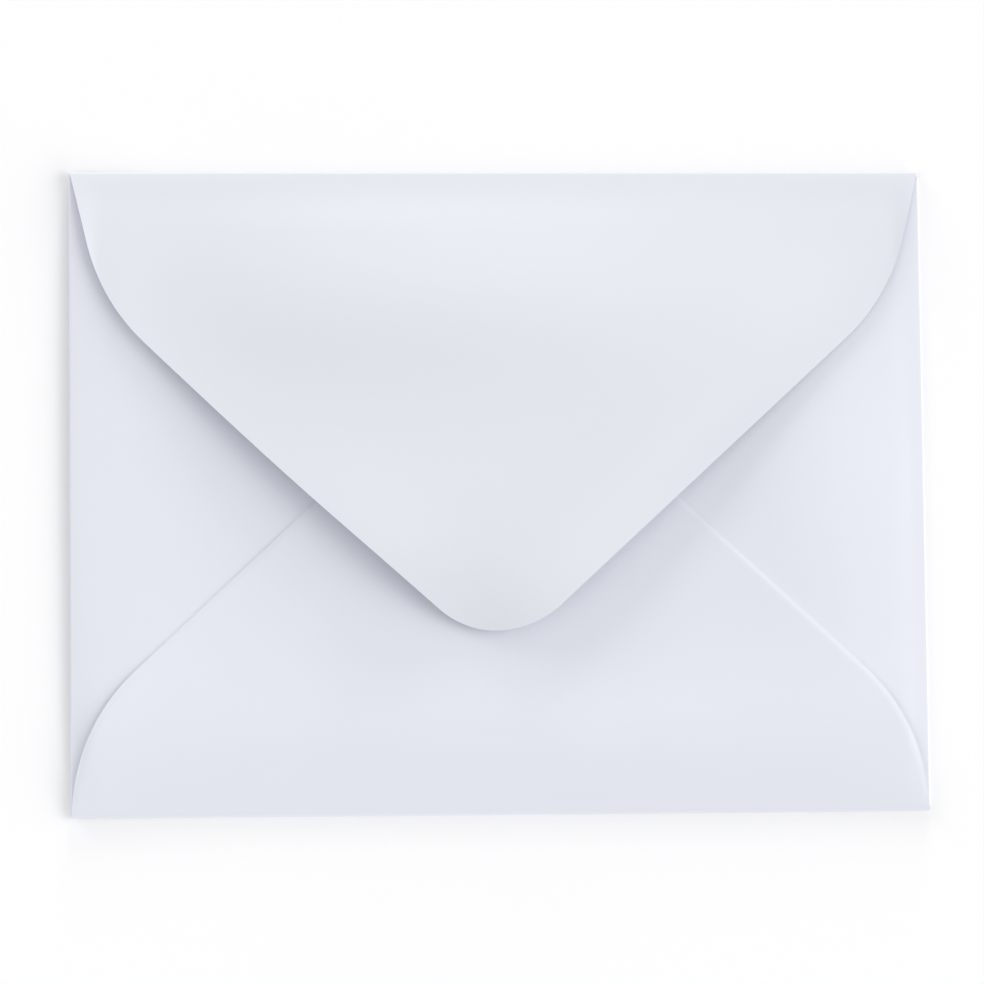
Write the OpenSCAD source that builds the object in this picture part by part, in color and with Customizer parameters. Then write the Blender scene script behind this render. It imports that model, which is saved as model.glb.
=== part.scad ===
// Paper envelope, folded from one sheet.
// It lies on its front panel, with its flaps up. The origin is under the middle
// of the panel: +X is to the right, +Y is to the top fold and +Z is up.

/* [Envelope] */
// Width of the closed envelope, along its top and bottom folds
envelope_w = 146; // [130:1:190]
// Height of the closed envelope, along its side folds
envelope_h = 110; // [100:1:140]

/* [Paper] */
// Thickness of the paper
paper_t = 0.15; // [0.1:0.01:0.3]
// Inside radius of the creased side folds
crease_r = 0.2; // [0.1:0.05:0.5]
// Air between two flaps that lie on each other
layer_gap = 0.15; // [0.1:0.05:0.4]

/* [Top flap] */
// Depth of the top flap, from its fold to its tip
top_depth = 78.5; // [65:0.1:90]
// Radius of its rounded tip
top_tip_r = 15; // [6:0.1:24]
// Distance of its shoulder from the side of the envelope
top_shoulder_inset = 5.7; // [3:0.1:12]
// Distance of its shoulder from the top fold
top_shoulder_depth = 22; // [14:0.1:30]
// Radius of its shoulder
top_shoulder_r = 34; // [10:1:50]
// Shortfall of its fold at each corner of the envelope
top_corner_gap = 0.2; // [0.1:0.05:1]
// Angle at which it springs up from its fold
top_spring = 7; // [6:0.5:16]
// Angle that is left at its tip, where it has bent over
top_tip_slope = 1; // [0:0.5:4]

/* [Bottom flap] */
// Depth of the bottom flap, from its fold to its tip
bottom_depth = 75.2; // [62:0.1:90]
// Radius of its rounded tip
bottom_tip_r = 20; // [6:0.5:26]
// Distance of its shoulder from the side of the envelope
bottom_shoulder_inset = 0.8; // [0.3:0.1:8]
// Distance of its shoulder from the bottom fold
bottom_shoulder_depth = 15.3; // [10:0.1:24]
// Radius of its shoulder
bottom_shoulder_r = 34; // [10:1:50]
// Shortfall of its fold at each corner of the envelope
bottom_corner_gap = 0.2; // [0.1:0.05:1]

/* [Side flaps] */
// Depth of a side flap, from its fold to its tip
side_depth = 50; // [44:0.5:56]
// Radius of its rounded tip
side_tip_r = 12; // [5:0.5:18]
// Distance of its shoulder from the corner of the envelope, along the fold
side_shoulder_inset = 7.6; // [6:0.1:12]
// Distance of its shoulder from the side fold
side_shoulder_depth = 8; // [5:0.1:12]
// Radius of its shoulder
side_shoulder_r = 20; // [5:1:40]
// Clearance between its fold and the top and bottom folds
side_corner_gap = 0.35; // [0.2:0.05:1]

/* [Crown] */
// Angle at which the side and bottom flaps rise from their folds
crown_angle = 5; // [3:0.5:7]
// Radius at which they bend back to level
crown_r = 200; // [100:10:240]

/* [Glued seams] */
// Width of the glue line under each slanting edge of the bottom flap
seam_w = 5; // [3:0.5:6]
// Distance of the glue line from the edges that it joins
seam_inset = 1.5; // [1:0.1:2.5]

/* [Hidden] */
paper_white = [0.93, 0.94, 0.97];
// Steps along a crease, along a gentle bend and along a rounded corner
crease_steps = 10;
bend_steps = 12;
corner_steps = 12;
// Length by which a fold runs into the front panel
root = 1;
// Length by which an outline or a sheet runs past what it is cut to
past = 5;
half_w = envelope_w / 2;
half_h = envelope_h / 2;
// Outside radii of the side folds, and of the top and bottom folds that close over them
side_fold_r = crease_r + paper_t;
end_fold_r = side_fold_r + (paper_t + layer_gap) / 2;
side_half = half_h - end_fold_r - side_corner_gap;
// Outside radius of the top flap, which bends over from its fold to its tip
top_bend_r = (top_depth - end_fold_r) / (sin(top_spring) - sin(top_tip_slope));
// A flap's bends are an outside radius and an angle each, first the crease
side_bends = [[side_fold_r, 180 - crown_angle], [crown_r, crown_angle]];
bottom_bends = [[end_fold_r, 180 - crown_angle], [crown_r, crown_angle]];
top_bends = [[end_fold_r, 180 - top_spring], [top_bend_r, top_spring - top_tip_slope]];

function unit(angle) = [cos(angle), sin(angle)];

// Height of the upper face of a flap where it has bent back to level
function level_z(bends) = bends[0].x * (1 - cos(bends[0].y)) + bends[1].x * (1 - cos(bends[1].y));
// Distance from the outside of its fold at which that flap is level
function level_from(bends) = bends[0].x + (bends[1].x - bends[0].x) * sin(bends[1].y);

// Points on an arc, from one angle to another
function arc(centre, r, from, to, steps, first = 0) =
    [for (i = [first : steps]) centre + r * unit(from + (to - from) * i / steps)];

// Points that round the left-hand corner p between a and b, with no larger radius than fits
function rounded(a, p, b, r) =
    let (way_in = p - a, way_out = b - p, heading = atan2(way_in.y, way_in.x))
    let (turn = atan2(way_out.y, way_out.x) - heading)
    let (cut_back = min(r * tan(turn / 2), 0.98 * norm(way_in), 0.98 * norm(way_out)))
    let (fit_r = cut_back / tan(turn / 2), centre = p - cut_back * unit(heading) + fit_r * unit(heading + 90))
    arc(centre, fit_r, heading - 90, heading - 90 + turn, corner_steps);

// Direction in which the slanting edge faces, on its way from a shoulder to a round tip
function edge_facing(shoulder, tip, tip_r) =
    let (way = shoulder - tip) atan2(way.y, way.x) + acos(tip_r / norm(way));

// One face of a sheet that starts at p with a heading and bends to the left
function bent_face(p, heading, bends, inset, i = 0) =
    i == len(bends) ? [] :
    let (r = bends[i].x, turn = bends[i].y, centre = p + r * unit(heading + 90), from = heading - 90)
    let (steps = i == 0 ? crease_steps : bend_steps, first = i == 0 ? 0 : 1)
    concat(arc(centre, r - inset, from, from + turn, steps, first),
           bent_face(centre + r * unit(from + turn), heading + turn, bends, inset, i + 1));

// Section through a flap and its fold, from the front panel out to x = reach and back
function flap_section(reach, bends) =
    let (heading = bends[0].y + bends[1].y, start = [reach - bends[0].x, 0])
    let (outside = bent_face(start, 0, bends, 0), inside = bent_face(start, 0, bends, paper_t))
    let (end = outside[len(outside) - 1] + reach * unit(heading))
    concat([start - [root, 0]], outside, [end, end + paper_t * unit(heading + 90)],
           [for (i = [len(inside) - 1 : -1 : 0]) inside[i]], [start - [root, -paper_t]]);

// Outline of a flap that folds at x = reach and points to -X
module flap_outline(reach, half, depth, tip_r, shoulder, shoulder_r) {
    fold_end = [reach, half];
    corner = [reach - shoulder.x, shoulder.y];
    tip = [reach - depth + tip_r, 0];
    facing = edge_facing(corner, tip, tip_r);
    touch = tip + tip_r * unit(facing);
    edge = concat([fold_end + [past, 0], fold_end], rounded(fold_end, corner, touch, shoulder_r));
    side = concat(edge, arc(tip, tip_r, facing, 180, corner_steps));
    polygon(concat(side, [for (i = [len(side) - 2 : -1 : 0]) [side[i].x, -side[i].y]]));
}

// A bent sheet that is cut to the outline of its flap
module flap(reach, half, bends) {
    intersection() {
        rotate([90, 0, 0])
            linear_extrude(2 * (half + past), center = true)
                polygon(flap_section(reach, bends));
        translate([0, 0, -past])
            linear_extrude(reach)
                children();
    }
}

module front_panel() {
    linear_extrude(paper_t)
        square([envelope_w - 2 * side_fold_r, envelope_h - 2 * end_fold_r], center = true);
}

module side_outline(margin = 0) {
    flap_outline(half_w, side_half - margin, side_depth - margin, side_tip_r,
                 [side_shoulder_depth, half_h - side_shoulder_inset - margin], side_shoulder_r);
}

module side_flap() {
    flap(half_w, side_half, side_bends) side_outline();
}

module bottom_outline() {
    flap_outline(half_h, half_w - bottom_corner_gap, bottom_depth, bottom_tip_r,
                 [bottom_shoulder_depth, half_w - bottom_shoulder_inset], bottom_shoulder_r);
}

module bottom_flap() {
    rotate(-90)
        flap(half_h, half_w - bottom_corner_gap, bottom_bends) bottom_outline();
}

module top_flap() {
    rotate(90)
        flap(half_h, half_w - top_corner_gap, top_bends)
            flap_outline(half_h, half_w - top_corner_gap, top_depth, top_tip_r,
                         [top_shoulder_depth, half_w - top_shoulder_inset], top_shoulder_r);
}

// The glue line on the right, between the side flap and the bottom flap over it,
// where both are level. It reaches to the middle of each sheet.
module glued_seam() {
    shoulder = [half_w - bottom_shoulder_inset, bottom_shoulder_depth - half_h];
    tip = [0, bottom_depth - bottom_tip_r - half_h];
    translate([0, 0, level_z(side_bends) - paper_t / 2])
        linear_extrude(layer_gap + paper_t)
            intersection() {
                translate(shoulder)
                    rotate(edge_facing(shoulder, tip, bottom_tip_r) + 90)
                        translate([0, seam_inset])
                            square([norm(shoulder - tip), seam_w]);
                side_outline(seam_inset);
                translate([0, level_from(bottom_bends) - half_h])
                    square([half_w - level_from(side_bends), envelope_h]);
            }
}

module envelope() {
    color(paper_white) {
        front_panel();
        bottom_flap();
        top_flap();
        for (turn = [0, 1])
            mirror([turn, 0, 0]) {
                side_flap();
                glued_seam();
            }
    }
}

envelope();
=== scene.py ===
"""White paper envelope, laid out flat as one die-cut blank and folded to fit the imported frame.

The blank lies with its outer face down. A Geometry Nodes tree rolls its four flaps over their
creases and lets them spring back. It then gives the sheet the soft swells, the curled left side,
the bowed flap edge and the slight waviness of handled paper.
Lengths are in metres and angles in radians, but those of the lamps and the camera are in degrees.
The origin is under the middle of the front panel: +X is to the right, +Y is to the top fold and
+Z is up.
"""

import logging
import math
from dataclasses import dataclass, field
from enum import Enum
from typing import Self

import bmesh
import bpy
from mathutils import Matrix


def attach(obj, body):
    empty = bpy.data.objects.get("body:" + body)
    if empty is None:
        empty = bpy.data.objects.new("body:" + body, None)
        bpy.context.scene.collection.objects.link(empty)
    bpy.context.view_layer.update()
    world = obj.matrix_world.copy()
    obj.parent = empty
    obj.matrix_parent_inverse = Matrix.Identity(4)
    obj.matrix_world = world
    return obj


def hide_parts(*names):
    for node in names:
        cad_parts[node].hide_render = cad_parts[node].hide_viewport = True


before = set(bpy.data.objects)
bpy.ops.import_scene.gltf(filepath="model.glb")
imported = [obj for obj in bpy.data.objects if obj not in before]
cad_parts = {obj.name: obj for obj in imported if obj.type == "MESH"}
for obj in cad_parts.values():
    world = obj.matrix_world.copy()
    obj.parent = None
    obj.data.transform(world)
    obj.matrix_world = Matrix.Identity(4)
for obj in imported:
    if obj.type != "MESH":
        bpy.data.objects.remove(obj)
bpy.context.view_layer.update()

log = logging.getLogger("envelope")

MM = 0.001
# Width of the border along the folds where waves, and swells that fade out, have no height
FOLD_WIDTH = 1.2 * MM
# Angle between two faces above which the edge between them is sharp
SHARP_ANGLE = math.radians(40)
# Point attributes: a panel's number, the distance from the cut edge, and 1 on the top flap, which marks
# where painted shade goes
PANEL_NUMBER = "panel"
RIM_DISTANCE = "rim"
FLAP_SHADE_MASK = "top_flap"
# Half the step from one panel's number to the next
HALF_NUMBER = 0.5
# Middle of the range of a noise texture, which is also half its range
NOISE_MIDDLE = 0.5
# Places of a Mix node's sockets for colours, because sockets for other data share their names
MIX_FIRST = 6
MIX_SECOND = 7
MIX_RESULT = 2

# A part of an expression: the value of a socket, or a number
Value = "Field | float"
# Red, green, blue and alpha
Colour = tuple[float, float, float, float]


class Field:
    """A socket whose value takes part in Python expressions, each of which adds a Math node."""

    def __init__(self, graph: "Graph", socket: bpy.types.NodeSocket) -> None:
        """Wraps an output socket.

        Args:
            graph: The graph that the socket is in.
            socket: The output socket.
        """
        self.graph = graph
        self.socket = socket

    def __add__(self, other: Value) -> "Field":
        """Adds a value to this one."""
        return self.graph.maths("ADD", self, other)

    __radd__ = __add__

    def __sub__(self, other: Value) -> "Field":
        """Takes a value from this one."""
        return self.graph.maths("SUBTRACT", self, other)

    def __rsub__(self, other: float) -> "Field":
        """Takes this value from a number."""
        return self.graph.maths("SUBTRACT", other, self)

    def __mul__(self, other: Value) -> "Field":
        """Multiplies this value by another."""
        return self.graph.maths("MULTIPLY", self, other)

    __rmul__ = __mul__

    def __truediv__(self, other: Value) -> "Field":
        """Divides this value by another."""
        return self.graph.maths("DIVIDE", self, other)

    def __rtruediv__(self, other: float) -> "Field":
        """Divides a number by this value."""
        return self.graph.maths("DIVIDE", other, self)

    def __neg__(self) -> "Field":
        """Turns the sign of this value."""
        return self * -1.0

    def __pow__(self, other: Value) -> "Field":
        """Raises this value to a power."""
        return self.graph.maths("POWER", self, other)

    def __rpow__(self, other: float) -> "Field":
        """Raises a number to this value as its power."""
        return self.graph.maths("POWER", other, self)

    def __lt__(self, other: Value) -> "Field":
        """Gives 1 where this value is less than another, and 0 elsewhere."""
        return self.graph.maths("LESS_THAN", self, other)

    def __gt__(self, other: Value) -> "Field":
        """Gives 1 where this value is greater than another, which also serves number < value."""
        return self.graph.maths("GREATER_THAN", self, other)

    def __abs__(self) -> "Field":
        """Drops the sign of this value."""
        return self.graph.maths("ABSOLUTE", self)

    def at_least(self, low: Value) -> "Field":
        """Raises this value to a lower limit."""
        return self.graph.maths("MAXIMUM", self, low)

    def at_most(self, high: Value) -> "Field":
        """Lowers this value to an upper limit."""
        return self.graph.maths("MINIMUM", self, high)

    def sine(self) -> "Field":
        """Takes the sine of this angle."""
        return self.graph.maths("SINE", self)

    def cosine(self) -> "Field":
        """Takes the cosine of this angle."""
        return self.graph.maths("COSINE", self)

    def sign(self) -> "Field":
        """Gives the sign of this value, as -1, 0 or 1."""
        return self.graph.maths("SIGN", self)

    def bell(self) -> "Field":
        """Gives exp(-value), which falls from 1 at zero in a soft bell if the value is a square."""
        return self.graph.maths("EXPONENT", -self)

    def ramp(self, low: Value, high: Value) -> "Field":
        """Rises smoothly from 0 to 1.

        Args:
            low: The value at which the ramp starts.
            high: The value at which the ramp has risen to 1.

        Returns:
            The height of the ramp.
        """
        inputs = {"Value": self, "From Min": low, "From Max": high}
        return self.graph.node("ShaderNodeMapRange", {"interpolation_type": "SMOOTHSTEP"}, inputs)


class Graph:
    """A node tree that is built in code."""

    def __init__(self, tree: bpy.types.NodeTree) -> None:
        """Takes a node tree and clears it.

        Args:
            tree: The node tree of a material, a world or a modifier.
        """
        self.tree = tree
        tree.nodes.clear()

    def node(self, kind: str, settings: dict | None = None, inputs: dict | None = None,
             output: str | int = 0) -> Field:
        """Adds a node.

        Args:
            kind: The node's type.
            settings: Its properties, which are set before its sockets.
            inputs: Values or links for its input sockets, by name or by place.
            output: The output socket that is wanted.

        Returns:
            That output, or the node's first input where it has no output.
        """
        made = self.tree.nodes.new(kind)
        for name, value in (settings or {}).items():
            setattr(made, name, value)
        for name, value in (inputs or {}).items():
            socket = made.inputs[name]
            if isinstance(value, Field):
                self.tree.links.new(value.socket, socket)
            else:
                socket.default_value = value
        return Field(self, made.outputs[output] if made.outputs else made.inputs[0])

    def maths(self, operation: str, *values: Value) -> Field:
        """Adds a Math node.

        Args:
            operation: The node's operation.
            values: Its inputs, in order.

        Returns:
            The result.
        """
        return self.node("ShaderNodeMath", {"operation": operation}, dict(enumerate(values)))

    def mix(self, factor: Field, first: Field | Colour, second: Field | Colour) -> Field:
        """Mixes two colours.

        Args:
            factor: Share of the second colour, from 0 to 1.
            first: The first colour.
            second: The second colour.

        Returns:
            The mixed colour.
        """
        inputs = {"Factor": factor, MIX_FIRST: first, MIX_SECOND: second}
        return self.node("ShaderNodeMix", {"data_type": "RGBA"}, inputs, MIX_RESULT)


class Panel(Enum):
    """The parts of the sheet between its folds."""

    FRONT = 0
    LEFT = 1
    RIGHT = 2
    BOTTOM = 3
    TOP = 4

    def place(self, out: float, across: float) -> tuple[float, float]:
        """Places a point of this flap on the flat sheet.

        Args:
            out: Distance from the middle of the front panel, towards the flap's tip.
            across: Place along the fold, to the right or to the top fold.

        Returns:
            The point.
        """
        outwards = -out if self in (Panel.LEFT, Panel.BOTTOM) else out
        return (outwards, across) if self in (Panel.LEFT, Panel.RIGHT) else (across, outwards)


@dataclass(frozen=True)
class Bend:
    """An arc in the section of the sheet: the radius of its outer face, and its angle."""

    radius: float
    angle: float


@dataclass(frozen=True)
class Fold:
    """How a flap leaves the front panel: over its crease, and on through a gentle bend."""

    crease: Bend
    spring: Bend

    @classmethod
    def springing(cls, radius: float, start: float, end: float, run: float) -> Self:
        """Makes the fold of a flap that springs up and bends over along its run.

        Args:
            radius: The outside radius of the crease.
            start: The slope at which the flap leaves its crease.
            end: The slope at which its bend ends.
            run: The length over which it bends, seen from above.

        Returns:
            The fold.
        """
        bend = Bend(run / (math.sin(start) - math.sin(end)), start - end)
        return cls(Bend(radius, math.pi - start), bend)

    @property
    def start_slope(self) -> float:
        """The slope at which the flap leaves its crease."""
        return math.pi - self.crease.angle

    @property
    def creased_plan(self) -> float:
        """How far the crease's end lies from the outside of the fold, seen from above."""
        return self.crease.radius * (1 - math.sin(self.crease.angle))

    @property
    def creased_length(self) -> float:
        """Length of sheet that is rolled up in the crease."""
        return self.crease.radius * self.crease.angle

    def flat_length(self, plan: float) -> float:
        """Gives the length of sheet from the front panel to a place past the crease.

        Args:
            plan: How far the place lies from the outside of the fold, seen from above.

        Returns:
            The length along the sheet's outer face.
        """
        run = plan - self.creased_plan
        bent_run = self.spring.radius * (math.sin(self.start_slope)
                                         - math.sin(self.start_slope - self.spring.angle))
        bent = math.sin(self.start_slope) - min(run, bent_run) / self.spring.radius
        along = self.spring.radius * (self.start_slope - math.asin(bent))
        level = max(run - bent_run, 0.0) / math.cos(self.start_slope - self.spring.angle)
        return self.creased_length + along + level


@dataclass(frozen=True)
class Cut:
    """Outline of one flap, as it shows from above when the flap is folded.

    Attributes:
        half: Half its length along the fold.
        depth: Distance from the outside of the fold to the tip.
        tip_radius: Radius of the round tip.
        shoulder_depth: Distance of the shoulder from the outside of the fold.
        shoulder_half: Distance of the shoulder from the flap's middle line.
        shoulder_radius: Radius of the shoulder.
    """

    half: float
    depth: float
    tip_radius: float
    shoulder_depth: float
    shoulder_half: float
    shoulder_radius: float

    @property
    def fold_facing(self) -> float:
        """Direction in which the short edge faces, between the fold and the shoulder."""
        return math.atan2(self.shoulder_depth, self.half - self.shoulder_half)

    @property
    def edge_facing(self) -> float:
        """Direction in which the slanting edge faces, between the shoulder and the tip.

        Returns:
            The angle from the line that runs from the fold to the tip.
        """
        run = self.shoulder_depth - (self.depth - self.tip_radius)
        way = math.hypot(run, self.shoulder_half)
        return math.atan2(self.shoulder_half, run) - math.acos(self.tip_radius / way)

    @property
    def shoulder_back(self) -> float:
        """Length of either edge that the round shoulder takes up."""
        return self.shoulder_radius * math.tan((self.fold_facing - self.edge_facing) / 2)

    @property
    def tip_start(self) -> float:
        """Distance from the outside of the fold to where the round tip starts."""
        return self.depth - self.tip_radius * (1 - math.cos(self.edge_facing))

    def facing(self, plan: float) -> float:
        """Gives the direction in which the cut faces, from 0 towards the tip to a quarter turn.

        Args:
            plan: Distance from the outside of the fold.

        Returns:
            The angle from the line that runs from the fold to the tip.
        """
        first = self.shoulder_depth - self.shoulder_back * math.sin(self.fold_facing)
        last = self.shoulder_depth + self.shoulder_back * math.sin(self.edge_facing)
        if plan <= first:
            return self.fold_facing
        if plan < last:
            across = first - self.shoulder_radius * math.cos(self.fold_facing)
            return math.acos((plan - across) / self.shoulder_radius)
        if plan <= self.tip_start:
            return self.edge_facing
        return math.acos(min((plan - self.depth + self.tip_radius) / self.tip_radius, 1.0))

    def half_width(self, plan: float) -> float:
        """Gives half the flap's width.

        Args:
            plan: Distance from the outside of the fold.

        Returns:
            Distance from the flap's middle line to its cut edge.
        """
        turned = self.facing(plan)
        if turned == self.fold_facing:
            return self.half - (self.half - self.shoulder_half) * plan / self.shoulder_depth
        if turned > self.edge_facing:
            first = self.shoulder_half + self.shoulder_back * math.cos(self.fold_facing)
            centre = first - self.shoulder_radius * math.sin(self.fold_facing)
            return centre + self.shoulder_radius * math.sin(turned)
        if turned == self.edge_facing:
            past = plan - self.shoulder_depth
            return self.shoulder_half - past / math.tan(self.edge_facing)
        return self.tip_radius * math.sin(turned)


@dataclass(frozen=True)
class Flap:
    """One flap of the blank, with the steps of its mesh along its crease and its round tip."""

    panel: Panel
    fold: Fold
    cut: Cut
    crease_steps: int = 14
    tip_steps: int = 20

    def lines(self, step: float) -> list[tuple[float, float, float]]:
        """Spaces lines across the flap, from its fold to its tip.

        Args:
            step: Distance between two lines, away from the crease and the tip.

        Returns:
            For each line after the fold, its distance along the sheet, half its length
            and the share by which its ends stand square to the cut.
        """
        crease = self.fold.crease
        made = []
        for i in range(1, self.crease_steps + 1):
            angle = crease.angle * i / self.crease_steps
            plan = crease.radius * (1 - math.sin(angle))
            made.append((crease.radius * angle, self.cut.half_width(plan), 1.0))
        start = self.fold.creased_plan
        run = self.cut.tip_start - start
        count = round(run / step)
        plans = [start + run * i / count for i in range(1, count + 1)]
        for i in range(1, self.tip_steps):
            turned = self.cut.edge_facing * (1 - i / self.tip_steps)
            plans.append(self.cut.depth - self.cut.tip_radius * (1 - math.cos(turned)))
        for plan in plans:
            square = math.sin(self.cut.facing(plan))
            made.append((self.fold.flat_length(plan), self.cut.half_width(plan), square))
        return made


class SheetMesh:
    """Points and faces of a flat sheet, with what each point knows of its place on it."""

    def __init__(self) -> None:
        """Starts an empty sheet."""
        self.points: list[tuple[float, float]] = []
        self.panels: list[int] = []
        self.rims: list[float] = []
        self.faces: list[list[int]] = []

    def line(self, points: list[tuple[float, float]], panel: Panel, rims: list[float]) -> list[int]:
        """Adds a line of points.

        Args:
            points: Places on the flat sheet.
            panel: The panel that they belong to.
            rims: Distance of each from the nearest cut edge of its flap.

        Returns:
            The numbers of the points.
        """
        first = len(self.points)
        self.points += points
        self.panels += [panel.value] * len(points)
        self.rims += rims
        return list(range(first, len(self.points)))

    def loft(self, near: list[int], far: list[int]) -> None:
        """Joins two lines by a row of faces, or a line and a point by a fan.

        Args:
            near: The first line.
            far: The second line, with as many points or with one.
        """
        for i in range(len(near) - 1):
            ends = far[i:i + 2] if len(far) > 1 else far
            self.faces.append([near[i], near[i + 1], *reversed(ends)])

    def rim_edges(self) -> list[tuple[int, int]]:
        """Finds the edges that only one face uses.

        Returns:
            The two points of each, in that face's order.
        """
        used = set()
        for face in self.faces:
            used |= set(zip(face, face[1:] + face[:1]))
        return [(a, b) for a, b in used if (b, a) not in used]

    def slab(self, name: str, thickness: float) -> bpy.types.Object:
        """Gives the sheet its thickness.

        Args:
            name: Name of the new object.
            thickness: Thickness of the paper.

        Returns:
            A closed object that knows the panel and the distance from the cut of each point.
        """
        count = len(self.points)
        lower = [(x, y, 0.0) for x, y in self.points]
        upper = [(x, y, thickness) for x, y in self.points]
        faces = [face[::-1] for face in self.faces]
        faces += [[count + i for i in face] for face in self.faces]
        faces += [[a, b, count + b, count + a] for a, b in self.rim_edges()]
        mesh = bpy.data.meshes.new(name)
        mesh.from_pydata(lower + upper, [], faces)
        known = ((PANEL_NUMBER, "INT", self.panels), (RIM_DISTANCE, "FLOAT", self.rims))
        for attribute, kind, one_face in known:
            both_faces = one_face + one_face
            mesh.attributes.new(attribute, kind, "POINT").data.foreach_set("value", both_faces)
        edited = bmesh.new()
        edited.from_mesh(mesh)
        bmesh.ops.recalc_face_normals(edited, faces=edited.faces)
        edited.to_mesh(mesh)
        edited.free()
        made = bpy.data.objects.new(name, mesh)
        bpy.context.scene.collection.objects.link(made)
        return made


@dataclass(frozen=True)
class Swell:
    """A soft rise or hollow in the paper, where it has been bent or pressed.

    Attributes:
        name: Name of the swell, for its input.
        panels: The panels that it moves.
        x: Its middle, to the right.
        y: Its middle, to the top fold.
        length: Distance lengthways from its middle at which its height is down to 1/e.
        width: The same distance crossways.
        height: Height of its middle, which is negative in a hollow.
        turn: Angle anticlockwise from +X to its length.
        fade: Distance from the folds at which it has its full height. A swell with a fade of
            0 moves the folds as well.
    """

    name: str
    panels: tuple[Panel, ...]
    x: float
    y: float
    length: float
    width: float
    height: float
    turn: float = 0.0
    fade: float = 8 * MM


@dataclass(frozen=True)
class Waviness:
    """The slight waviness of paper that has taken up moisture.

    Attributes:
        height: Height that the waves can have, and their depth.
        length: Length of a wave.
        detail: Number of times that finer waves are added.
        fade: Distance from the folds at which they have their full height.
        seed: Number that picks the pattern.
    """

    height: float = 0.03 * MM
    length: float = 30 * MM
    detail: float = 1.0
    fade: float = 14 * MM
    seed: float = 7.0


@dataclass(frozen=True)
class EdgeBow:
    """The outward bow of the top flap's left edge, which isn't as straight as its right edge.

    Attributes:
        out: How far the edge bows out at its fullest.
        y: Where it is fullest, to the top fold.
        width: Distance up or down from there at which the bow is down to 1/e.
        reach: Distance from the edge, inwards, at which the paper doesn't move.
        facing: Angle from -X, down to the direction in which the edge moves.
        start_x: Where the bow starts, near the tip.
        full_x: Where it has grown to its full share, left of the tip.
    """

    out: float = 1.5 * MM
    y: float = 2 * MM
    width: float = 32 * MM
    reach: float = 22 * MM
    facing: float = math.radians(48)
    start_x: float = 14 * MM
    full_x: float = -4 * MM


@dataclass(frozen=True)
class SeamEdge:
    """How the bottom flap's cut edge is pressed down onto the side flaps.

    Attributes:
        drop: How far the edge is pressed down.
        width: Distance from the edge, inwards, at which the paper isn't pressed down.
        fade: Distance from the bottom fold at which the edge is pressed down in full.
    """

    drop: float = 0.14 * MM
    width: float = 1.0 * MM
    fade: float = 3 * MM


@dataclass(frozen=True)
class Sizes:
    """Sizes of the envelope, the same as in the part's source."""

    width: float = 146 * MM
    height: float = 110 * MM
    paper: float = 0.15 * MM
    side_fold_radius: float = 0.35 * MM
    end_fold_radius: float = 0.5 * MM
    side_corner_gap: float = 0.35 * MM
    end_corner_gap: float = 0.2 * MM
    crown_angle: float = math.radians(5)
    crown_radius: float = 200 * MM
    top_spring: float = math.radians(7)
    top_tip_slope: float = math.radians(1)
    top_depth: float = 78.5 * MM
    bottom_depth: float = 75.2 * MM
    side_depth: float = 50 * MM

    @property
    def panel_half_width(self) -> float:
        """Half the width of the front panel, between its side folds."""
        return self.width / 2 - self.side_fold_radius

    @property
    def panel_half_height(self) -> float:
        """Half the height of the front panel, between its end folds."""
        return self.height / 2 - self.end_fold_radius

    @property
    def side_fold_half(self) -> float:
        """Half the length of a side fold."""
        return self.panel_half_height - self.side_corner_gap

    @property
    def end_fold_half(self) -> float:
        """Half the length of the top or the bottom fold."""
        return self.width / 2 - self.end_corner_gap

    def crown_fold(self, radius: float) -> Fold:
        """Makes the fold of a flap that rises from its crease and bends back to level.

        Args:
            radius: The outside radius of its crease.

        Returns:
            The fold.
        """
        crown = Bend(self.crown_radius, self.crown_angle)
        return Fold(Bend(radius, math.pi - self.crown_angle), crown)

    def side_flap(self, panel: Panel) -> Flap:
        """Makes a side flap.

        Args:
            panel: Which side it is on.

        Returns:
            The flap.
        """
        cut = Cut(self.side_fold_half, self.side_depth, tip_radius=12 * MM, shoulder_depth=8 * MM,
                  shoulder_half=self.height / 2 - 7.6 * MM, shoulder_radius=20 * MM)
        return Flap(panel, self.crown_fold(self.side_fold_radius), cut)

    def bottom_flap(self) -> Flap:
        """Makes the bottom flap.

        Returns:
            The flap.
        """
        cut = Cut(self.end_fold_half, self.bottom_depth, tip_radius=20 * MM, shoulder_depth=15.3 * MM,
                  shoulder_half=self.width / 2 - 0.8 * MM, shoulder_radius=34 * MM)
        return Flap(Panel.BOTTOM, self.crown_fold(self.end_fold_radius), cut)

    def top_flap(self) -> Flap:
        """Makes the top flap.

        Returns:
            The flap.
        """
        cut = Cut(self.end_fold_half, self.top_depth, tip_radius=15 * MM, shoulder_depth=22 * MM,
                  shoulder_half=self.width / 2 - 5.7 * MM, shoulder_radius=34 * MM)
        fold = Fold.springing(self.end_fold_radius, self.top_spring, self.top_tip_slope,
                              self.top_depth - self.end_fold_radius)
        return Flap(Panel.TOP, fold, cut)


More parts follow.
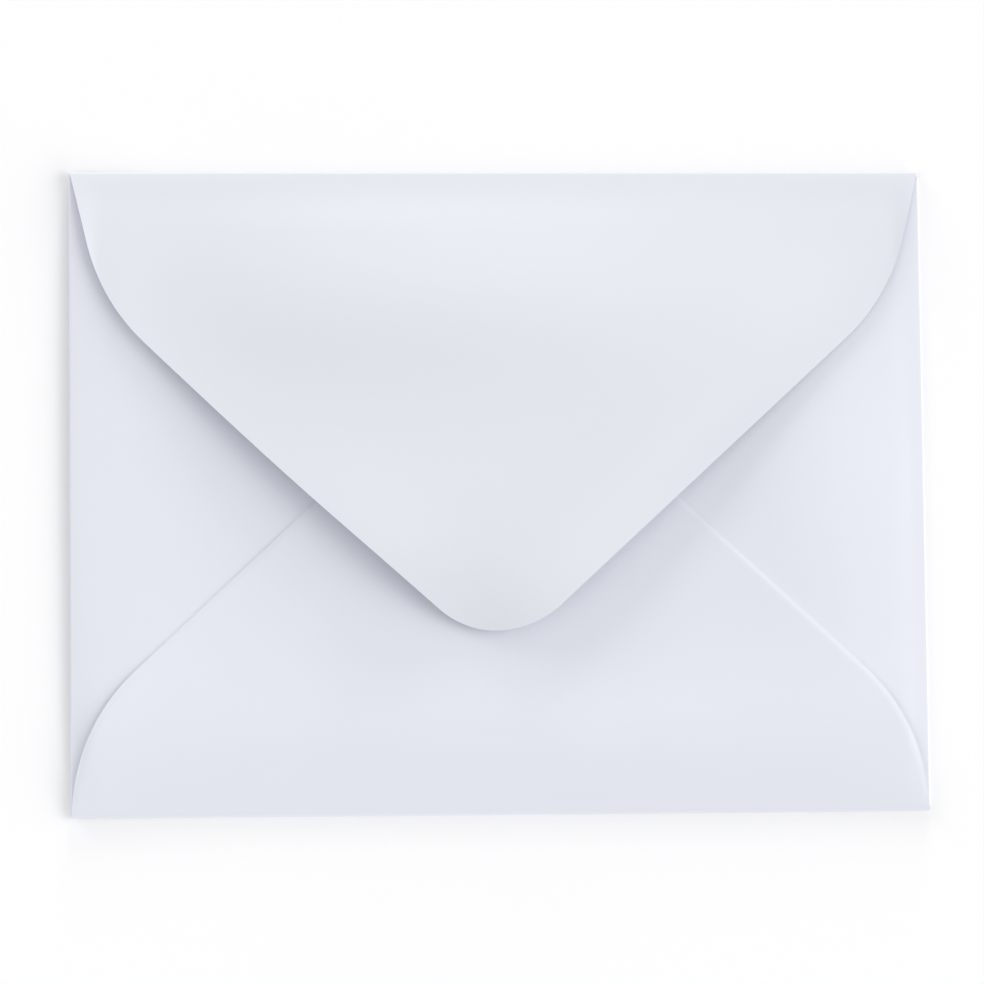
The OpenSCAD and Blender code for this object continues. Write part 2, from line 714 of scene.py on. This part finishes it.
@dataclass
class FoldTree:
    """The Geometry Nodes tree that folds the flat blank and gives it the shape of handled paper."""

    sizes: Sizes
    flaps: dict[Panel, Flap]
    swells: tuple[Swell, ...]
    waviness: Waviness = Waviness()
    seam_edge: SeamEdge = SeamEdge()
    edge_bow: EdgeBow = EdgeBow()
    values: dict[str, float] = field(default_factory=dict)

    def __post_init__(self) -> None:
        """Makes an empty tree, with the sheet going in and the envelope coming out."""
        self.tree = bpy.data.node_groups.new("fold_envelope", "GeometryNodeTree")
        self.graph = Graph(self.tree)
        self.tree.interface.new_socket("Blank", in_out="INPUT", socket_type="NodeSocketGeometry")
        self.tree.interface.new_socket("Envelope", in_out="OUTPUT", socket_type="NodeSocketGeometry")
        self.way_in = self.tree.nodes.new("NodeGroupInput")

    def size(self, name: str, value: float) -> Field:
        """Adds a named input.

        Args:
            name: Name of the size.
            value: Its value.

        Returns:
            The input, for use in the tree.
        """
        socket = self.tree.interface.new_socket(name, in_out="INPUT", socket_type="NodeSocketFloat")
        self.values[socket.identifier] = value
        return Field(self.graph, self.way_in.outputs[name])

    def roll(self, label: str, fold: Fold, over: Field, depth: Field) -> tuple[Field, Field]:
        """Rolls a flap over its crease and through its bend.

        Args:
            label: Name of the flap, for its inputs.
            fold: The flap's fold.
            over: Distance past the front panel's edge, along the flat sheet.
            depth: Height above the outer face, in the flat sheet.

        Returns:
            How far outwards and how far up the point comes to lie.
        """
        crease_r = self.size(f"{label} Crease Radius", fold.crease.radius)
        crease_a = self.size(f"{label} Crease Angle", fold.crease.angle)
        bend_r = self.size(f"{label} Bend Radius", fold.spring.radius)
        bend_a = self.size(f"{label} Bend Angle", fold.spring.angle)
        creased = (over / crease_r).at_most(crease_a)
        past = (over - crease_r * crease_a).at_least(0.0)
        bent = (past / bend_r).at_most(bend_a)
        rest = (past - bend_r * bend_a).at_least(0.0)
        turned = creased + bent
        out = (crease_r * creased.sine() + bend_r * (turned.sine() - creased.sine())
               + rest * turned.cosine() - depth * turned.sine())
        up = (crease_r * (1 - creased.cosine()) + bend_r * (creased.cosine() - turned.cosine())
              + rest * turned.sine() + depth * turned.cosine())
        return out, up

    def swell(self, shape: Swell, x: Field, y: Field, panel: Field) -> Field:
        """Adds one swell.

        Args:
            shape: The swell.
            x: Where a point of the folded sheet is, to the right.
            y: Where it is, to the top fold.
            panel: The number of its panel.

        Returns:
            The height that the swell gives the point.
        """
        height = self.size(f"{shape.name} Height", shape.height)
        lengthways = (x - shape.x) * math.cos(shape.turn) + (y - shape.y) * math.sin(shape.turn)
        crossways = (y - shape.y) * math.cos(shape.turn) - (x - shape.x) * math.sin(shape.turn)
        bell = ((lengthways / shape.length) ** 2.0 + (crossways / shape.width) ** 2.0).bell()
        on = sum((self.on_panel(panel, other) for other in shape.panels), start=0.0)
        if not shape.fade:
            return height * bell * on
        return height * bell * on * self.from_edges(x, y, shape.fade)

    def on_panel(self, panel: Field, wanted: Panel) -> Field:
        """Gives 1 on one panel, and 0 elsewhere."""
        return abs(panel - float(wanted.value)) < HALF_NUMBER

    def build(self, material: bpy.types.Material) -> None:
        """Builds the tree.

        Args:
            material: The finish of the paper.
        """
        graph = self.graph
        place = graph.node("GeometryNodeInputPosition")
        split = {"Vector": place}
        flat_x, flat_y, depth = (graph.node("ShaderNodeSeparateXYZ", {}, split, axis) for axis in "XYZ")
        panel = graph.node("GeometryNodeInputNamedAttribute", {"data_type": "INT"},
                           {"Name": PANEL_NUMBER})
        rim = graph.node("GeometryNodeInputNamedAttribute", {"data_type": "FLOAT"},
                         {"Name": RIM_DISTANCE})
        half_w = self.size("Panel Half Width", self.sizes.panel_half_width)
        half_h = self.size("Panel Half Height", self.sizes.panel_half_height)
        top, bottom = (self.on_panel(panel, end) for end in (Panel.TOP, Panel.BOTTOM))
        side = self.on_panel(panel, Panel.LEFT) + self.on_panel(panel, Panel.RIGHT)
        over_x = (abs(flat_x) - half_w).at_least(0.0) * side
        over_y = (abs(flat_y) - half_h).at_least(0.0)
        side_out, side_up = self.roll("Side", self.flaps[Panel.LEFT].fold, over_x, depth)
        top_out, top_up = self.roll("Top", self.flaps[Panel.TOP].fold, over_y * top, depth)
        low_out, low_up = self.roll("Bottom", self.flaps[Panel.BOTTOM].fold, over_y * bottom, depth)
        x = flat_x * (1 - side) + flat_x.sign() * (half_w + side_out) * side
        y = (flat_y * (1 - top - bottom) + (half_h + top_out) * top - (half_h + low_out) * bottom)
        # Each of the three rolls adds the depth, which counts once.
        z = side_up + top_up + low_up - 2 * depth
        bow = self.bow(x, y, rim) * top
        x = x - bow * math.cos(self.edge_bow.facing)
        y = y - bow * math.sin(self.edge_bow.facing)
        z = z + self.waves(x, y) * (1 - self.on_panel(panel, Panel.FRONT))
        for shape in self.swells:
            z = z + self.swell(shape, x, y, panel)
        z = z - self.seam_drop(y, rim) * bottom
        moved = graph.node("ShaderNodeCombineXYZ", {}, {"X": x, "Y": y, "Z": z})
        sheet = Field(graph, self.way_in.outputs["Blank"])
        folded = graph.node("GeometryNodeSetPosition", {}, {"Geometry": sheet, "Position": moved})
        # Marks the top flap, whose colour in the material is painted shade
        shade_marked = graph.node("GeometryNodeStoreNamedAttribute", {"data_type": "FLOAT", "domain": "POINT"},
                            {"Geometry": folded, "Name": FLAP_SHADE_MASK, "Value": top})
        real = graph.node("GeometryNodeRealizeInstances", {}, {"Geometry": shade_marked})
        done = graph.node("GeometryNodeSetMaterial", {}, {"Geometry": real, "Material": material})
        graph.node("NodeGroupOutput", {}, {"Envelope": done})

    def from_edges(self, x: Field, y: Field, fade: float) -> Field:
        """Fades a swell or the waves out towards the folds.

        Args:
            x: Where a point of the folded sheet is, to the right.
            y: Where it is, to the top fold.
            fade: Distance from the folds at which they have their full height.

        Returns:
            0 at the outline of the envelope, and 1 well inside it.
        """
        from_side = self.sizes.width / 2 - abs(x)
        from_end = self.sizes.height / 2 - abs(y)
        return from_side.ramp(FOLD_WIDTH, fade) * from_end.ramp(FOLD_WIDTH, fade)

    def waves(self, x: Field, y: Field) -> Field:
        """Makes the waves of the paper.

        Args:
            x: Where a point of the folded sheet is, to the right.
            y: Where it is, to the top fold.

        Returns:
            The height that the waves give the point, the same on every flap.
        """
        height = self.size("Wave Height", self.waviness.height)
        length = self.size("Wave Length", self.waviness.length)
        seed = self.size("Wave Seed", self.waviness.seed)
        spot = self.graph.node("ShaderNodeCombineXYZ", {}, {"X": x / length, "Y": y / length})
        noise = self.graph.node("ShaderNodeTexNoise", {"noise_dimensions": "4D"},
                                {"Vector": spot, "W": seed, "Scale": 1.0,
                                 "Detail": self.waviness.detail})
        swing = (noise - NOISE_MIDDLE) / NOISE_MIDDLE
        return swing * height * self.from_edges(x, y, self.waviness.fade)

    def bow(self, x: Field, y: Field, rim: Field) -> Field:
        """Bows the top flap's left edge out.

        Args:
            x: Where a point of the folded sheet is, to the right.
            y: Where it is, to the top fold.
            rim: Distance from the flap's cut edge.

        Returns:
            How far the point moves outwards, square to the edge.
        """
        edge = self.edge_bow
        out = self.size("Edge Bow", edge.out)
        near = 1 - rim.ramp(0.0, edge.reach)
        left = (-x).ramp(-edge.start_x, -edge.full_x)
        return out * near * left * (((y - edge.y) / edge.width) ** 2.0).bell()

    def seam_drop(self, y: Field, rim: Field) -> Field:
        """Presses the bottom flap's cut edge down, except at the bottom fold.

        Args:
            y: Where a point of the folded sheet is, to the top fold.
            rim: Distance from the flap's cut edge.

        Returns:
            The height by which the point drops.
        """
        drop = self.size("Seam Drop", self.seam_edge.drop)
        width = self.size("Seam Drop Width", self.seam_edge.width)
        from_fold = (y + self.sizes.height / 2).ramp(FOLD_WIDTH, self.seam_edge.fade)
        return drop * (1 - rim.ramp(0.0, width)) * from_fold

    def fold(self, blank: bpy.types.Object, name: str) -> bpy.types.Object:
        """Folds the blank into the finished piece.

        Args:
            blank: The flat sheet.
            name: Name of the piece.

        Returns:
            The piece, as a plain mesh.
        """
        modifier = blank.modifiers.new("fold", "NODES")
        modifier.node_group = self.tree
        for identifier, value in self.values.items():
            modifier[identifier] = value
        seen = blank.evaluated_get(bpy.context.evaluated_depsgraph_get())
        mesh = bpy.data.meshes.new_from_object(seen)
        bpy.data.objects.remove(blank)
        mesh.name = name
        mesh.shade_smooth()
        mesh.set_sharp_from_angle(angle=SHARP_ANGLE)
        for spare in (PANEL_NUMBER, RIM_DISTANCE):
            mesh.attributes.remove(mesh.attributes[spare])
        made = bpy.data.objects.new(name, mesh)
        bpy.context.scene.collection.objects.link(made)
        return made


@dataclass(frozen=True)
class PaperFinish:
    """Smooth white wove paper, cloudy and faintly bluish. The top flap carries painted shade: a darker,
    less bluish copy of the paper's colour that stands in for the different light falling on it.

    Attributes:
        colour: Colour of the sheet.
        cloud_colour: Its colour in the clouds.
        flap_shade_colour: Painted shade on the top flap: darker and less bluish than the sheet, standing
            in for the different light on it.
        cloud_size: Size of a cloud.
        cloud_detail: Number of times that finer clouds are added.
        cloud_start: Level of the noise at which a cloud starts.
        cloud_full: Level at which it has its full colour.
        fibre_size: Size of the fibre grain.
        fibre_detail: Number of times that finer grain is added.
        fibre_depth: Depth of the grain.
        roughness: How dull the paper is, from 0 to 1.
        specular: How strongly it reflects, from 0 to 1.
    """

    colour: Colour = (0.77, 0.79, 0.853, 1.0)
    cloud_colour: Colour = (0.762, 0.779, 0.848, 1.0)
    flap_shade_colour: Colour = (0.74, 0.764, 0.808, 1.0)
    cloud_size: float = 22 * MM
    cloud_detail: float = 3.0
    cloud_start: float = 0.35
    cloud_full: float = 0.65
    fibre_size: float = 0.35 * MM
    fibre_detail: float = 4.0
    fibre_depth: float = 0.008 * MM
    roughness: float = 0.85
    specular: float = 0.3

    def build(self) -> bpy.types.Material:
        """Builds the material.

        Returns:
            The material.
        """
        material = bpy.data.materials.new("envelope_paper")
        material.use_nodes = True
        graph = Graph(material.node_tree)
        spot = graph.node("ShaderNodeTexCoord", output="Object")
        cloud, fibre = (
            graph.node("ShaderNodeTexNoise", {"noise_dimensions": "3D"},
                       {"Vector": spot, "Scale": 1 / size, "Detail": detail})
            for size, detail in ((self.cloud_size, self.cloud_detail),
                                 (self.fibre_size, self.fibre_detail)))
        clouded = cloud.ramp(self.cloud_start, self.cloud_full)
        sheet = graph.mix(clouded, self.colour, self.cloud_colour)
        # Painted shade: the top flap swaps the sheet's colour for a darker, less bluish one that stands
        # in for the light falling on it
        top_flap = graph.node("ShaderNodeAttribute", {"attribute_name": FLAP_SHADE_MASK}, output="Fac")
        colour = graph.mix(top_flap, sheet, self.flap_shade_colour)
        bump = graph.node("ShaderNodeBump", {}, {"Height": fibre, "Distance": self.fibre_depth})
        surface = graph.node("ShaderNodeBsdfPrincipled", {},
                             {"Base Color": colour, "Roughness": self.roughness, "Normal": bump,
                              "Specular IOR Level": self.specular})
        graph.node("ShaderNodeOutputMaterial", {}, {"Surface": surface})
        return material


@dataclass
class Envelope:
    """The envelope, folded from one sheet of paper.

    Attributes:
        sizes: Its sizes.
        finish: Its paper.
        swells: The swells of its paper.
        step: Distance between two points of the sheet, away from its folds and cut edges.
        near_end: Distances from the end of a fold at which there is a point of the sheet.
        name: Name of the piece.
    """

    sizes: Sizes
    finish: PaperFinish
    swells: tuple[Swell, ...] = ()
    step: float = 1.25 * MM
    near_end: tuple[float, ...] = (0.0, 0.25 * MM, 0.5 * MM, 0.8 * MM, 1.2 * MM, 1.7 * MM,
                                   2.4 * MM, 3.3 * MM, 4.4 * MM)
    name: str = "envelope_sheet"

    def spread(self, half: float) -> list[float]:
        """Spaces points along half a fold and mirrors them, closer together at its ends.

        Args:
            half: Half the fold's length.

        Returns:
            Places from -1 to 1, in order.
        """
        inner = half - self.near_end[-1]
        count = round(inner / self.step)
        right = [inner * i / count / half for i in range(1, count + 1)]
        right += [(half - distance) / half for distance in reversed(self.near_end[:-1])]
        return [-place for place in reversed(right)] + [0.0] + right

    def blank(self) -> bpy.types.Object:
        """Lays out the die-cut blank.

        Returns:
            The flat sheet, with its thickness.
        """
        sizes = self.sizes
        half_w, half_h = sizes.panel_half_width, sizes.panel_half_height
        across = self.spread(sizes.end_fold_half)
        rows = self.spread(sizes.side_fold_half)
        sheet = SheetMesh()
        # The front panel counts as far from every cut edge.
        rims = [sizes.width] * len(across)
        panel = []
        for y, half in [(-half_h, sizes.end_fold_half),
                        *((row * sizes.side_fold_half, half_w) for row in rows),
                        (half_h, sizes.end_fold_half)]:
            panel.append(sheet.line([(place * half, y) for place in across], Panel.FRONT, rims))
        for near_line, far_line in zip(panel, panel[1:]):
            sheet.loft(near_line, far_line)
        left_fold = [line[0] for line in panel[1:-1]]
        right_fold = [line[-1] for line in panel[-2:0:-1]]
        across_back = [-place for place in across]
        rows_back = [-row for row in rows]
        for flap, places, start, base in (
                (sizes.top_flap(), across, panel[-1], half_h),
                (sizes.bottom_flap(), across_back, panel[0][::-1], half_h),
                (sizes.side_flap(Panel.RIGHT), rows_back, right_fold, half_w),
                (sizes.side_flap(Panel.LEFT), rows, left_fold, half_w)):
            self.add_flap(sheet, flap, places, start, base)
        return sheet.slab(self.name + "_blank", sizes.paper)

    def add_flap(self, sheet: SheetMesh, flap: Flap, places: list[float], start: list[int],
                 base: float) -> None:
        """Adds a flap to the flat sheet.

        Args:
            sheet: The sheet.
            flap: The flap.
            places: Where its points lie along each line, from -1 to 1.
            start: The points of its fold.
            base: Distance of its fold from the middle of the front panel.
        """
        line = start
        for along, half, square in flap.lines(self.step):
            points = [flap.panel.place(base + along, place * half) for place in places]
            rims = [(1 - abs(place)) * half * square for place in places]
            new = sheet.line(points, flap.panel, rims)
            sheet.loft(line, new)
            line = new
        reach = base + flap.fold.flat_length(flap.cut.depth)
        tip = sheet.line([flap.panel.place(reach, 0.0)], flap.panel, [0.0])
        sheet.loft(line, tip)

    def build(self) -> bpy.types.Object:
        """Builds the envelope and fits it to the frame.

        Returns:
            The finished piece.
        """
        sizes = self.sizes
        flaps = {Panel.LEFT: sizes.side_flap(Panel.LEFT), Panel.RIGHT: sizes.side_flap(Panel.RIGHT),
                 Panel.BOTTOM: sizes.bottom_flap(), Panel.TOP: sizes.top_flap()}
        tree = FoldTree(sizes, flaps, self.swells)
        tree.build(self.finish.build())
        piece = tree.fold(self.blank(), self.name)
        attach(piece, "root")
        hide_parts("envelope")
        return piece


@dataclass(frozen=True)
class Floor:
    """A plain pale table top that runs out of the picture on every side."""

    half_size: float = 1.2
    colour: Colour = (0.97, 0.97, 0.97, 1.0)

    def build(self) -> bpy.types.Object:
        """Builds the floor.

        Returns:
            The floor, marked as part of the stage.
        """
        half = self.half_size
        mesh = bpy.data.meshes.new("floor")
        mesh.from_pydata([(-half, -half, 0), (half, -half, 0), (half, half, 0), (-half, half, 0)],
                         [], [(0, 1, 2, 3)])
        made = bpy.data.objects.new("floor", mesh)
        bpy.context.scene.collection.objects.link(made)
        material = bpy.data.materials.new("floor_white")
        material.use_nodes = True
        graph = Graph(material.node_tree)
        surface = graph.node("ShaderNodeBsdfDiffuse", {}, {"Color": self.colour})
        graph.node("ShaderNodeOutputMaterial", {}, {"Surface": surface})
        mesh.materials.append(material)
        return made


@dataclass(frozen=True)
class SoftLamp:
    """A large soft lamp, far enough away to light the table evenly.

    Attributes:
        name: Name of the lamp.
        azimuth: Where it stands, anticlockwise from +X, in degrees.
        elevation: Its height over the table, in degrees.
        spread: How wide it looks from the envelope, in degrees.
        share: Brightness that it gives a level sheet, as a share of the sheet's own colour.
        colour: Colour of its light.
    """

    name: str
    azimuth: float
    elevation: float
    spread: float
    share: float
    colour: tuple[float, float, float] = (1.0, 1.0, 1.0)

    @property
    def strength(self) -> float:
        """Strength at which the lamp gives a level sheet its share."""
        return self.share * math.pi / math.sin(math.radians(self.elevation))

    def build(self) -> bpy.types.Object:
        """Builds the lamp.

        Returns:
            The lamp, which points at the envelope.
        """
        lamp = bpy.data.lights.new(self.name, "SUN")
        lamp.energy = self.strength
        lamp.angle = math.radians(self.spread)
        lamp.color = self.colour
        made = bpy.data.objects.new(self.name, lamp)
        made.rotation_euler = (0, math.radians(90 - self.elevation), math.radians(self.azimuth))
        bpy.context.scene.collection.objects.link(made)
        return made


@dataclass(frozen=True)
class Studio:
    """The light of a white room."""

    lamps: tuple[SoftLamp, ...]
    room_strength: float
    room_colour: Colour

    def build(self) -> None:
        """Builds the lamps and the room's light."""
        for lamp in self.lamps:
            lamp.build()
        world = bpy.data.worlds.new("white_room")
        world.use_nodes = True
        graph = Graph(world.node_tree)
        light = graph.node("ShaderNodeBackground", {},
                           {"Color": self.room_colour, "Strength": self.room_strength})
        graph.node("ShaderNodeOutputWorld", {}, {"Surface": light})
        bpy.context.scene.world = world


@dataclass(frozen=True)
class Viewpoint:
    """Where the photograph was taken from, fitted to the envelope's four corners.

    Attributes:
        place: Place of the camera.
        tilt: Its turns about X, Y and Z, in degrees.
        focal_pixels: Its focal length, in pixels of the photograph.
        photo_pixels: Width of the photograph, in pixels.
        sensor: Width of the sensor, in millimetres.
        sight: Distance up to which the camera sees.
    """

    place: tuple[float, float, float] = (-59.87 * MM, -83.16 * MM, 846.44 * MM)
    tilt: tuple[float, float, float] = (5.64, -3.90, -0.65)
    focal_pixels: float = 5000.0
    photo_pixels: float = 984.0
    sensor: float = 36.0
    sight: float = 10.0

    def build(self) -> bpy.types.Object:
        """Builds the camera.

        Returns:
            The camera, set as the scene's own.
        """
        data = bpy.data.cameras.new("camera")
        data.sensor_width = self.sensor
        data.lens = self.focal_pixels / self.photo_pixels * self.sensor
        data.clip_end = self.sight
        made = bpy.data.objects.new("camera", data)
        made.location = self.place
        made.rotation_euler = tuple(math.radians(angle) for angle in self.tilt)
        bpy.context.scene.collection.objects.link(made)
        bpy.context.scene.camera = made
        return made


# The flaps that are glued together, and so bend as one
BODY = (Panel.LEFT, Panel.RIGHT, Panel.BOTTOM)
# How the sheet has been bent and pressed, fitted to the soft shading in the photograph
SWELLS = (
    Swell("Fold Swell", (Panel.TOP,), x=-10 * MM, y=33 * MM, length=42 * MM, width=15 * MM,
          height=2.6 * MM, fade=10 * MM),
    Swell("Left Shoulder", (Panel.TOP,), x=-60 * MM, y=29 * MM, length=20 * MM, width=18 * MM,
          height=-1.2 * MM, fade=5 * MM),
    Swell("Right Shoulder", (Panel.TOP,), x=66 * MM, y=30 * MM, length=16 * MM, width=20 * MM,
          height=-0.8 * MM, fade=5 * MM),
    Swell("Left Lift", (Panel.TOP,), x=-22 * MM, y=-10 * MM, length=15 * MM, width=9 * MM,
          height=0.4 * MM, turn=math.radians(-41)),
    Swell("Right Ridge", (Panel.TOP,), x=32 * MM, y=18 * MM, length=30 * MM, width=8 * MM,
          height=0.6 * MM, turn=math.radians(39)),
    Swell("Right Rim", (Panel.TOP,), x=38 * MM, y=8 * MM, length=36 * MM, width=7 * MM,
          height=-1.4 * MM, turn=math.radians(39)),
    Swell("Tip Press", (Panel.TOP,), x=-10 * MM, y=-30 * MM, length=15 * MM, width=12 * MM,
          height=-3.5 * MM),
    Swell("Left Curl", tuple(Panel), x=-78 * MM, y=12 * MM, length=16 * MM, width=75 * MM,
          height=0.8 * MM, fade=0.0),
    Swell("Right Hump", BODY, x=55 * MM, y=-4 * MM, length=14 * MM, width=30 * MM, height=1.1 * MM,
          fade=5 * MM),
    Swell("Bottom Crown", BODY, x=0.0, y=-41 * MM, length=60 * MM, width=10 * MM, height=0.9 * MM,
          fade=4 * MM),
    Swell("Pocket Rise", BODY, x=-5 * MM, y=-26 * MM, length=20 * MM, width=14 * MM, height=0.8 * MM),
    Swell("Pocket Crease", (Panel.BOTTOM,), x=-1 * MM, y=-41.5 * MM, length=8 * MM, width=1.5 * MM,
          height=-0.1 * MM),
)
# Tints of the daylight that comes in on the right, and of the light that the room gives back
WARM = (1.01, 1.0, 0.98)
COOL = (0.992, 0.996, 1.015)
# The lamps' shares and the room's strength add up to about 1: level paper shows its own colour
STUDIO = Studio(
    lamps=(SoftLamp("right_window", azimuth=0, elevation=26, spread=48, share=0.207, colour=WARM),
           SoftLamp("near_left_panel", azimuth=215, elevation=36, spread=36, share=0.062, colour=COOL),
           SoftLamp("near_right_panel", azimuth=315, elevation=14, spread=24, share=0.057, colour=COOL),
           SoftLamp("far_left_panel", azimuth=135, elevation=14, spread=22, share=0.062, colour=COOL),
           SoftLamp("far_window", azimuth=85, elevation=8, spread=14, share=0.048)),
    room_strength=0.594,
    room_colour=(*COOL, 1.0),
)


def main() -> None:
    """Builds the camera, the floor, the lights and the envelope."""
    logging.basicConfig(level=logging.INFO, format="%(message)s")
    bpy.context.scene.view_settings.view_transform = "Standard"
    Viewpoint().build()
    Floor().build()
    STUDIO.build()
    piece = Envelope(Sizes(), PaperFinish(), SWELLS).build()
    log.info("%s: %d faces", piece.name, len(piece.data.polygons))


if __name__ == "__main__":
    main()
